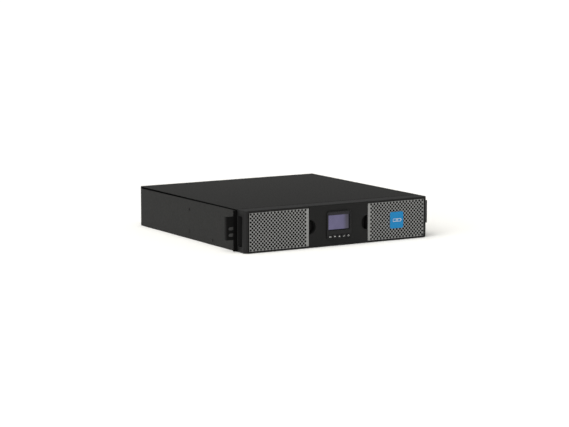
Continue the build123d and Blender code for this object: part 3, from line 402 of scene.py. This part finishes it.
FINISHES = {
    # The shell's lid gets painted shade toward its front.
    "shell_paint": coated("powder_coat", (0.0156, 0.0156, 0.0151), 0.62, 1300.0, 0.000035, dust=0.008,
                          painted_front_shade=0.3, worn=(0.055, 0.055, 0.054), Specular_IOR_Level=0.17),
    "ear_black": coated("ear_paint", (0.0052, 0.0052, 0.0052), 0.6, 1600.0, 0.00002, edge=0.0004,
                        worn=(0.02, 0.02, 0.02), Specular_IOR_Level=0.09),
    "bezel_black": coated("carrier_moulding", (0.0040, 0.0040, 0.0040), 0.6, 2400.0, 0.000015,
                          worn=(0.010, 0.010, 0.010), Specular_IOR_Level=0.06),
    "inner_paint": coated("inner_paint", (0.02, 0.02, 0.02), 0.6, 1800.0, 0.00002, dust=0.05),
    "inner_steel": brushed("zinc_sheet", (0.58, 0.59, 0.60), 0.42, (900.0, 60.0, 60.0)),
    "cover_plastic": coated("cover_moulding", (0.0096, 0.0096, 0.0096), 0.5, 2600.0, 0.000018, dust=0.006,
                            worn=(0.035, 0.035, 0.035), Specular_IOR_Level=0.17),
    "display_plastic": coated("display_moulding", (0.0078, 0.0078, 0.0082), 0.36, 3200.0, 0.000008,
                              edge=0.0004, worn=(0.035, 0.035, 0.035), Specular_IOR_Level=0.22),
    # Painted shade: the walls of the grille's holes take a near-black colour.
    "grille_paint": coated("grille_paint", (0.268, 0.270, 0.266), 0.42, 2400.0, 0.000012, tone=0.08,
                           edge=0.0003, worn=(0.42, 0.42, 0.41), hole_shade=(0.004, 0.004, 0.004), Metallic=0.35),
    "badge_blue": coated("badge_blue", (0.012, 0.222, 0.50), 0.28, 2000.0, 0.000004, tone=0.05, edge=0.0004,
                         worn=(0.05, 0.26, 0.55), Specular_IOR_Level=0.16),
    "window_clear": clear_sheet(),
    "lcd": lcd_glass(),
    "key_plastic": coated("key_rubber", (0.0095, 0.0095, 0.010), 0.48, 3000.0, 0.00001, edge=0.0003,
                          worn=(0.03, 0.03, 0.03), Specular_IOR_Level=0.3),
    "screw_black": coated("black_oxide", (0.006, 0.006, 0.006), 0.4, 2200.0, 0.00001, edge=0.0003,
                          worn=(0.05, 0.05, 0.05), Metallic=0.2, Specular_IOR_Level=0.2),
    "connector_black": coated("connector_moulding", (0.017, 0.017, 0.0175), 0.42, 2800.0, 0.000012,
                              edge=0.0004, worn=(0.045, 0.045, 0.045), dust=0.02),
    "guard_wire": brushed("plated_wire", (0.70, 0.70, 0.70), 0.26, (300.0, 300.0, 300.0)),
    "port_steel": brushed("port_steel", (0.62, 0.61, 0.58), 0.36, (200.0, 1400.0, 1400.0)),
    "terminal_green": coated("terminal_green", (0.03, 0.27, 0.09), 0.42, 2400.0, 0.00001, edge=0.0003),
    "button_white": coated("reset_white", (0.70, 0.70, 0.67), 0.38, 2400.0, 0.000008, edge=0.0004,
                           worn=(0.78, 0.78, 0.75)),
    "connector_grey": coated("connector_grey", (0.20, 0.20, 0.205), 0.46, 2400.0, 0.000014, edge=0.0004),
    "battery_case": coated("battery_case", (0.035, 0.037, 0.042), 0.52, 1900.0, 0.00003, edge=0.0008,
                           dust=0.05),
    "tab_metal": brushed("tinned_metal", (0.72, 0.70, 0.64), 0.35, (900.0, 200.0, 200.0)),
    "wire_sleeve": wire_sleeves(),
    "board_green": laminate(),
    "sink_aluminium": brushed("drawn_aluminium", (0.72, 0.73, 0.74), 0.38, (1200.0, 25.0, 1200.0)),
    "device_black": coated("moulded_device", (0.02, 0.02, 0.02), 0.55, 3600.0, 0.00001, edge=0.0003),
    "capacitor_sleeve": coated("capacitor_sleeve", (0.018, 0.022, 0.06), 0.24, 900.0, 0.00001, edge=0.0005),
    "winding_copper": windings(),
    "retainer_plastic": coated("natural_moulding", (0.32, 0.32, 0.31), 0.5, 2400.0, 0.00001, edge=0.0004),
}
WHITE_PRINT = coated("white_print", (0.62, 0.62, 0.61), 0.5, 3000.0, 0.000003, tone=0.06,
                     edge=0.0001, worn_amount=0.0)
BRASS = brushed("contact_brass", (0.78, 0.62, 0.34), 0.3, (300.0, 900.0, 300.0))
FOAM = coated("filter_foam", (0.0016, 0.0016, 0.0016), 0.95, 900.0, 0.0004, Specular_IOR_Level=0.0)
LABEL = coated("plain_label", (0.42, 0.42, 0.41), 0.55, 1500.0, 0.000006, tone=0.06,
               edge=0.0001, worn_amount=0.0)


def paint_cad_nodes():
    """Give every CAD node the finish of its record slot."""
    for part in frame["record"]["subparts"]:
        node = frame["nodes"][part["node"]]
        finish = FINISHES[part["material_slot"]]
        if not node.material_slots:
            node.data.materials.append(finish)
        for place in node.material_slots:
            place.material = finish


# ---- mesh helpers, in millimetres ---------------------------------------------------------------
def at(x, y, z):
    """A point given in millimetres."""
    return Vector((x * MM, y * MM, z * MM))


def add_box(bm, low, high):
    """A box between two corners; gives its vertices."""
    size = [(b - a) * MM for a, b in zip(low, high)]
    middle = at(*[(a + b) / 2 for a, b in zip(low, high)])
    place = Matrix.Translation(middle) @ Matrix.Diagonal((*size, 1.0))
    return bmesh.ops.create_cube(bm, size=1.0, matrix=place)["verts"]


def add_rod(bm, centre, radius, length, turn=FRONT_UPRIGHT, sides=32):
    """A round bar about a centre; gives its vertices."""
    place = Matrix.Translation(at(*centre)) @ turn
    made = bmesh.ops.create_cone(bm, cap_ends=True, segments=sides, radius1=radius * MM,
                                 radius2=radius * MM, depth=length * MM, matrix=place)
    return made["verts"]


def add_ring(bm, centre, radius, wire, steps, sides=10):
    """A round wire ring about the Y axis."""
    made = bmesh.ops.create_circle(bm, segments=sides, radius=wire * MM,
                                   matrix=Matrix.Translation(at(centre[0] + radius, centre[1], centre[2])))
    bmesh.ops.spin(bm, geom=made["verts"] + edges_of(made["verts"]), cent=at(*centre), axis=(0, 1, 0),
                   angle=2 * pi, steps=steps, use_merge=True)


def add_plate(bm, outline, front, depth):
    """A flat plate in x and z, from its front face back; gives its vertices."""
    verts = [bm.verts.new(at(x, front, z)) for x, z in outline]
    face = bm.faces.new(verts)
    made = bmesh.ops.extrude_face_region(bm, geom=[face])
    back = [item for item in made["geom"] if isinstance(item, bmesh.types.BMVert)]
    bmesh.ops.translate(bm, verts=back, vec=at(0, depth, 0))
    return verts + back


def add_prism(bm, outline, low, high):
    """An upright prism on an outline in x and y; gives its vertices."""
    verts = [bm.verts.new(at(x, y, low)) for x, y in outline]
    made = bmesh.ops.extrude_face_region(bm, geom=[bm.faces.new(verts)])
    top = [item for item in made["geom"] if isinstance(item, bmesh.types.BMVert)]
    bmesh.ops.translate(bm, verts=top, vec=at(0, 0, high - low))
    return verts + top


def edges_of(verts):
    """The edges that meet a set of vertices."""
    return list({edge for vert in verts for edge in vert.link_edges})


def soften(bm, edges, width, segments):
    """Round edges over to a width."""
    bmesh.ops.bevel(bm, geom=edges, offset=width * MM, affect="EDGES", segments=segments, profile=0.5,
                    material=-1)


def sided(sign, near, far):
    """Two x values moved to the left (-1) or right (1) half, the lower first."""
    return sorted((sign * near, sign * far))


def add_piece(name, bm, finish, body, replaced=(), angle=35.0):
    """Finish a mesh as a piece that rides on a body."""
    bmesh.ops.recalc_face_normals(bm, faces=bm.faces)
    mesh = bpy.data.meshes.new(name)
    bm.to_mesh(mesh)
    bm.free()
    mesh.materials.append(finish)
    mesh.shade_smooth()
    mesh.set_sharp_from_angle(angle=radians(angle))
    piece = bpy.data.objects.new(name, mesh)
    SCENE.collection.objects.link(piece)
    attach(piece, body)
    if replaced:
        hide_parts(*replaced)


# ---- keys and badge ---------------------------------------------------------------------------
def arc(centre, radius, start, stop, steps):
    """Points on an arc, in degrees from straight up."""
    angles = [radians(start + (stop - start) * step / steps) for step in range(steps + 1)]
    return [(centre[0] + radius * sin(a), centre[1] + radius * cos(a)) for a in angles]


def bar(start, stop, width):
    """A thin oblong from one point to another."""
    dx, dz = stop[0] - start[0], stop[1] - start[1]
    length = (dx * dx + dz * dz) ** 0.5
    nx, nz = -dz / length * width / 2, dx / length * width / 2
    return [(start[0] + nx, start[1] + nz), (stop[0] + nx, stop[1] + nz),
            (stop[0] - nx, stop[1] - nz), (start[0] - nx, start[1] - nz)]


KEY_SIGNS = {
    "escape": [[(-2.9, 0.0), (-0.7, 1.35), (-0.7, -1.35)], bar((-0.9, 0.0), (2.9, 0.0), 0.9)],
    "down": [[(-1.9, 1.1), (1.9, 1.1), (0.0, -1.4)]],
    "up": [[(-1.9, -1.1), (0.0, 1.4), (1.9, -1.1)]],
    "enter": [bar((-1.8, -0.1), (-0.4, -1.4), 0.62), bar((-0.5, -1.5), (1.9, 1.3), 0.62)],
    "power": [arc((0, -0.15), 1.75, 40, 320, 20) + arc((0, -0.15), 1.2, 320, 40, 20),
              bar((0, 0.2), (0, 2.0), 0.55)],
}
KEY_SETBACK = 0.12     # the cap's face behind the CAD key's, which leaves room for its sign
KEY_CORNER, KEY_DOME = 2.9, 0.5


def make_keys():
    """Domed key caps with white signs printed on them."""
    for name, sign in KEY_SIGNS.items():
        node, body = f"button_{name}", f"key_{name}"
        low, high = (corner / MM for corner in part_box(node))
        bm = bmesh.new()
        verts = add_box(bm, (low.x, low.y + KEY_SETBACK, low.z), (high.x, high.y, high.z))
        upright = [e for e in edges_of(verts) if abs(e.verts[0].co.y - e.verts[1].co.y) > 0.5 * MM]
        soften(bm, upright, KEY_CORNER, 8)
        front = [f for f in bm.faces if f.normal.y < -0.9 or f.calc_center_median().y < (low.y + 0.2) * MM]
        rim = list({e for f in front for e in f.edges})
        soften(bm, rim, KEY_DOME, 4)
        add_piece(f"{name}_key_cap", bm, FINISHES["key_plastic"], body, (node,))
        bm = bmesh.new()
        middle = (low + high) / 2
        for outline in sign:
            add_plate(bm, [(middle.x + x, middle.z + z) for x, z in outline], low.y + 0.02, 0.2)
        add_piece(f"{name}_key_sign", bm, WHITE_PRINT, body)


def make_badge_sign():
    """A battery sign with a flash, in white on the blue plate."""
    low, high = (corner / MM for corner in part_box("badge"))
    x, z = (low.x + high.x) / 2, (low.z + high.z) / 2
    bm = bmesh.new()
    half_w, half_h, line = 9.4, 2.7, 0.9
    frame_bars = [bar((x - half_w, z - half_h), (x + half_w, z - half_h), line),
                  bar((x - half_w, z + half_h), (x + half_w, z + half_h), line),
                  bar((x - half_w, z - half_h - line / 2), (x - half_w, z + half_h + line / 2), line),
                  bar((x + half_w, z - half_h - line / 2), (x + half_w, z + half_h + line / 2), line),
                  bar((x + half_w + 1.2, z - 1.3), (x + half_w + 1.2, z + 1.3), 1.2)]
    flash = [(x + 1.2, z + 2.0), (x - 4.2, z - 0.35), (x - 0.4, z - 0.35),
             (x - 1.2, z - 2.0), (x + 4.2, z + 0.35), (x + 0.4, z + 0.35)]
    for outline in frame_bars + [flash]:
        add_plate(bm, outline, low.y - 0.06, 0.4)
    add_piece("badge_battery_sign", bm, WHITE_PRINT, "right_cover")


# ---- filters, latches, and rubber and trim, most of it painted shade --------------------------------
FILTER_X = (76.3, 208.6)
LATCH_X, LATCH_Z = (58.8, 66.0), (35.0, 51.0)
RECESS_DEPTH = 12.0


def make_filters():
    """A black foam sheet behind each grille."""
    for side, sign in (("left", -1), ("right", 1)):
        low, high = (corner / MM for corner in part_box(f"{side}_grille"))
        inner, outer = sided(sign, *FILTER_X)
        bm = bmesh.new()
        verts = add_box(bm, (inner, high.y + 0.25, low.z + 2.6), (outer, high.y + 3.2, high.z - 2.6))
        soften(bm, edges_of(verts), 0.5, 2)
        add_piece(f"{side}_air_filter", bm, FOAM, f"{side}_cover")


def make_latches():
    """A ribbed latch tab on the floor of each finger recess."""
    floor_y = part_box("centre_cover")[0].y / MM + RECESS_DEPTH
    for side, sign in (("left", -1), ("right", 1)):
        bm = bmesh.new()
        inner, outer = sided(sign, *LATCH_X)
        verts = add_box(bm, (inner, floor_y - 0.45, LATCH_Z[0]), (outer, floor_y + 0.2, LATCH_Z[1]))
        soften(bm, edges_of(verts), 0.2, 2)
        for rib in range(4):
            z = 37.6 + rib * 3.6
            add_plate(bm, bar((inner + 1.0, z), (outer - 1.0, z), 1.0), floor_y - 0.65, 0.4)
        add_piece(f"{side}_recess_latch", bm, FINISHES["shell_paint"], "middle_cover")


# Black rubber as painted shade, given for the right side: the pad on the shaded floor of the long finger
# groove, and the plug in the shaded pocket of the short one under it.
GROOVE_SHADE_PAD = ((216.1, -217.3), (216.1, -205.7), (220.2, -201.1),
              (219.8, -200.7), (215.7, -205.3), (215.7, -217.3))
SHADE_PAD_Z = (13.2, 73.8)
LOWER_SHADE_PAD = ((214.6, -216.3, 11.7), (215.1, -206.7, 15.8))
# The edging fills the shadow gap beside each grille, as painted shadow.
SHADE_EDGING_X = (210.6, 212.8)


def make_cover_shade_rubber():
    """Black rubber where shade falls, as painted shade: an edging beside each grille, and a pad in each
    side cover's finger groove.
    """
    for side, sign in (("left", -1), ("right", 1)):
        low, high = (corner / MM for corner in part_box(f"{side}_grille"))
        bm = bmesh.new()
        shade_edging = ((SHADE_EDGING_X[0], low.y - 0.25, low.z + 0.1), (SHADE_EDGING_X[1], high.y - 0.1, high.z - 0.1))
        for near, far in (shade_edging, LOWER_SHADE_PAD):
            inner, outer = sided(sign, near[0], far[0])
            verts = add_box(bm, (inner, near[1], near[2]), (outer, far[1], far[2]))
            soften(bm, edges_of(verts), 0.12, 2)
        add_prism(bm, [(sign * x, y) for x, y in GROOVE_SHADE_PAD], *SHADE_PAD_Z)
        add_piece(f"{side}_cover_shade_rubber", bm, FINISHES["bezel_black"], f"{side}_cover")


# Black foam in the side seams under the lid, as painted shade deepening the seam's dark line.
SEAM_SHADE_X, SEAM_SHADE_Y, SEAM_SHADE_Z = (217.9, 219.07), (-190.0, 225.6), (81.6, 85.45)
SEAM_SHADE_TAPER = 1.6     # how much thinner a seam's painted shade strip is at its front end
STRIP = ((-218.6, -197.9, 85.9), (218.6, -194.3, 86.46))


def make_shell_trim():
    """Black foam strips in the seams under the lid as painted shade, deepening the seam's dark line, and a
    painted strip that closes the lid's front joint.
    """
    bm = bmesh.new()
    for sign in (-1, 1):
        inner, outer = sided(sign, *SEAM_SHADE_X)
        verts = add_box(bm, (inner, SEAM_SHADE_Y[0], SEAM_SHADE_Z[0]), (outer, SEAM_SHADE_Y[1], SEAM_SHADE_Z[1]))
        for vert in verts:
            if vert.co.y < 0 and vert.co.z < 84 * MM:
                vert.co.z += SEAM_SHADE_TAPER * MM
    add_piece("lid_seam_shade_strips", bm, FOAM, "chassis")
    bm = bmesh.new()
    verts = add_box(bm, *STRIP)
    soften(bm, edges_of(verts), 0.1, 2)
    add_piece("lid_front_strip", bm, FINISHES["shell_paint"], "chassis")


# ---- rear fittings ------------------------------------------------------------------------------
FAN_REACH = 35.75     # from a fan's centre to its screws, across and up
GUARD_RINGS = (11, 20, 29, 38)
GUARD_WIRE = 0.68
EYE_RADIUS, EYE_WIRE = 3.1, 0.85
HUB_RADIUS, HUB_EDGE = 16.4, 1.6
BLADES = 7
BLADE_LENGTH, BLADE_WIDTH, BLADE_THICKNESS = 20.6, 24.0, 1.2
BLADE_MIDDLE = 25.9     # a blade's middle from the fan's centre, which sinks its root in the hub
BLADE_CAMBER = 2.6
BLADE_PITCH, BLADE_TWIST = 54, 20     # degrees at the root, and how much less at the tip


def fan_centres():
    """Each fan's centre in x and z, with the two ends of its rotor in y."""
    places = []
    for index in (1, 2):
        low, high = (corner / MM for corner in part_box(f"fan_rotor_{index}"))
        places.append(((low.x + high.x) / 2, (low.z + high.z) / 2, low.y, high.y))
    return places


def make_fan_guards():
    """Round-wire guards: four rings, two crossing wires and an eye at each screw."""
    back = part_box("rear_panel")[1].y / MM
    bm = bmesh.new()
    for x, z, _, _ in fan_centres():
        for radius in GUARD_RINGS:
            add_ring(bm, (x, back + 1.1, z), radius, GUARD_WIRE, 72)
        for turn in (45, 135):
            tilt = Matrix.Rotation(radians(turn), 4, "Y")
            add_rod(bm, (x, back + 0.72, z), GUARD_WIRE, 2 * (FAN_REACH * 2 ** 0.5 - 3.0), tilt, 12)
        for dx in (-FAN_REACH, FAN_REACH):
            for dz in (-FAN_REACH, FAN_REACH):
                add_ring(bm, (x + dx, back + 0.9, z + dz), EYE_RADIUS, EYE_WIRE, 28)
    add_piece("wire_fan_guards", bm, FINISHES["guard_wire"], "chassis", ("fan_guards",), 60)


def make_rotors():
    """Hubs with a rounded cap, and seven twisted blades each."""
    for index, (x, z, near, far) in enumerate(fan_centres()):
        bm = bmesh.new()
        hub = add_rod(bm, (x, (near + far) / 2, z), HUB_RADIUS, far - near, FRONT_UPRIGHT, 64)
        soften(bm, [e for e in edges_of(hub) if abs(e.verts[0].co.y - e.verts[1].co.y) < 1e-6], HUB_EDGE, 4)
        for blade in range(BLADES):
            before = set(bm.verts)
            bmesh.ops.create_grid(bm, x_segments=10, y_segments=8, size=0.5,
                                  matrix=Matrix.Diagonal((BLADE_LENGTH * MM, BLADE_WIDTH * MM, 1, 1)))
            verts = [v for v in bm.verts if v not in before]
            for vert in verts:
                along = vert.co.x / (BLADE_LENGTH * MM) + 0.5
                turn = Matrix.Rotation(radians(BLADE_PITCH - BLADE_TWIST * along), 3, "X")
                camber = BLADE_CAMBER * MM * (1 - (vert.co.y / (BLADE_WIDTH / 2 * MM)) ** 2)
                bent = turn @ Vector((0, vert.co.y, camber))
                vert.co = Vector((vert.co.x + BLADE_MIDDLE * MM, bent.y * 0.84, bent.z))
            spin = Matrix.Rotation(2 * pi * blade / BLADES, 4, "Y")
            spot = Matrix.Translation(at(x, (near + far) / 2, z)) @ spin
            bmesh.ops.transform(bm, matrix=spot, verts=verts)
            faces = list({f for v in verts for f in v.link_faces})
            bmesh.ops.solidify(bm, geom=faces, thickness=BLADE_THICKNESS * MM)
        add_piece(f"fan_{index + 1}_impeller", bm, FINISHES["connector_black"], f"fan_{index + 1}",
                  (f"fan_rotor_{index + 1}",))


# Centres in x and z on the rear panel, and the three contacts round such a centre.
INLET = (-42.0, 62.0)
OUTLETS = [(x, z) for x in (-192.0, -159.0, -126.0, -93.0) for z in (26.0, 60.0)]
CONTACTS = ((-7.0, 1.0), (7.0, 1.0), (0.0, -3.0))
BLADE_Y, STRIP_Y = (210.2, 224.6), (209.0, 225.0)


def make_contacts():
    """Plated blades in the mains inlet and brass strips in the outlets' slots."""
    bm = bmesh.new()
    for dx, dz in CONTACTS:
        x, z = INLET[0] + dx, INLET[1] + dz
        blade = add_box(bm, (x - 1.06, BLADE_Y[0], z - 2.06), (x + 1.06, BLADE_Y[1], z + 2.06))
        soften(bm, edges_of(blade), 0.3, 2)
    add_piece("inlet_blades", bm, FINISHES["port_steel"], "chassis")
    bm = bmesh.new()
    for outlet_x, outlet_z in OUTLETS:
        for dx, dz in CONTACTS:
            x, z = outlet_x + dx, outlet_z + dz
            for edge in (-1.12, 0.82):
                add_box(bm, (x + edge, STRIP_Y[0], z - 2.0), (x + edge + 0.3, STRIP_Y[1], z + 2.0))
    add_piece("outlet_contacts", bm, BRASS, "chassis")


BATTERIES, BATTERY_GAP = 4, 1.0
VENTS, VENT_PITCH = 3, 22.5


def make_battery_details():
    """A raised lid with its vent plugs, and a plain label, on each battery."""
    low, high = (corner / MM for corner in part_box("battery_blocks"))
    lids, labels = bmesh.new(), bmesh.new()
    length = (high.y - low.y - (BATTERIES - 1) * BATTERY_GAP) / BATTERIES
    for index in range(BATTERIES):
        start = low.y + index * (length + BATTERY_GAP)
        stop = start + length
        lid = add_box(lids, (high.x - 0.3, start + 4, low.z + 4), (high.x + 0.7, stop - 4, high.z - 20))
        soften(lids, edges_of(lid), 0.3, 2)
        for vent in range(VENTS):
            place = (high.x + 0.7, start + VENT_PITCH + vent * VENT_PITCH, low.z + 27)
            plug = add_rod(lids, place, 6.0, 1.2, Matrix.Rotation(pi / 2, 4, "Y"), 32)
            soften(lids, edges_of(plug), 0.25, 2)
        add_box(labels, (low.x + 14, start + 16, high.z - 0.1), (high.x - 14, stop - 16, high.z + 0.12))
    add_piece("battery_lids", lids, FINISHES["battery_case"], "battery")
    add_piece("battery_labels", labels, LABEL, "battery")


# ---- room, camera and light ------------------------------------------------------------------------
FLOOR_SIZE, FLOOR_DROP = 60.0, 0.0002     # metres


def make_floor():
    """A plain pale floor just under the unit."""
    bm = bmesh.new()
    bmesh.ops.create_grid(bm, x_segments=1, y_segments=1, size=FLOOR_SIZE)
    bmesh.ops.translate(bm, verts=bm.verts, vec=(0, 0, -FLOOR_DROP))
    mesh = bpy.data.meshes.new("floor")
    bm.to_mesh(mesh)
    bm.free()
    material, tree, shader = empty_material("floor_paint", Specular_IOR_Level=0.0)
    tone = remap(tree, noise(tree, object_point(tree), 3.0, 3.0), 0.2, 0.8, 0.975, 0.985)
    shader.inputs["Roughness"].default_value = 0.9
    colour = blend_colour(tree, 1.0, (1.0, 1.0, 1.0, 1.0), tone, "MULTIPLY")
    tree.links.new(colour, shader.inputs["Base Color"])
    mesh.materials.append(material)
    floor = bpy.data.objects.new("floor", mesh)
    SCENE.collection.objects.link(floor)


def make_world():
    """White to the eye, and a softer grey as a source of light."""
    world = bpy.data.worlds.new("studio")
    world.use_nodes = True
    tree = world.node_tree
    seen = tree.nodes.new("ShaderNodeLightPath").outputs["Is Camera Ray"]
    colour = blend_colour(tree, seen, (0.30, 0.30, 0.30, 1.0), (1.0, 1.0, 1.0, 1.0))
    tree.links.new(colour, tree.nodes["Background"].inputs["Color"])
    SCENE.world = world


def add_sun(name, direction, strength, angle, colour):
    """A soft distant light that comes from a direction, as wide in the sky as its angle in degrees."""
    data = bpy.data.lights.new(name, "SUN")
    data.energy = strength
    data.color = colour
    data.angle = radians(angle)
    lamp = bpy.data.objects.new(name, data)
    lamp.rotation_mode = "QUATERNION"
    lamp.rotation_quaternion = Vector(direction).to_track_quat("Z", "Y")
    SCENE.collection.objects.link(lamp)


CAMERA_AT = (-2.31368, -3.8756, 0.68021)
CAMERA_TURN = (-30.94, 8.1)     # degrees round the unit from its front, and up from the floor
LENS, SENSOR = 134.939, 36.0


def make_camera():
    """A long lens that looks down a little on the front and the left side."""
    data = bpy.data.cameras.new("camera")
    data.lens = LENS
    data.sensor_width = SENSOR
    data.clip_start, data.clip_end = 0.05, 200.0
    camera = bpy.data.objects.new("camera", data)
    around, up = (radians(angle) for angle in CAMERA_TURN)
    back = Vector((sin(around) * cos(up), -cos(around) * cos(up), sin(up)))
    camera.location = CAMERA_AT
    camera.rotation_mode = "QUATERNION"
    camera.rotation_quaternion = (-back).to_track_quat("-Z", "Y")
    SCENE.collection.objects.link(camera)
    SCENE.camera = camera


make_camera()
make_world()
make_floor()
add_sun("overhead_light", (-0.25, -0.15, 1.0), 2.05, 60, (1.0, 0.98, 0.91))
add_sun("left_light", (-1.0, -0.3, 0.45), 1.5, 50, (0.97, 0.985, 1.0))
SCENE.view_settings.view_transform = "Standard"

paint_cad_nodes()
make_keys()
make_badge_sign()
make_filters()
make_latches()
make_cover_shade_rubber()
make_shell_trim()
make_fan_guards()
make_rotors()
make_contacts()
make_battery_details()
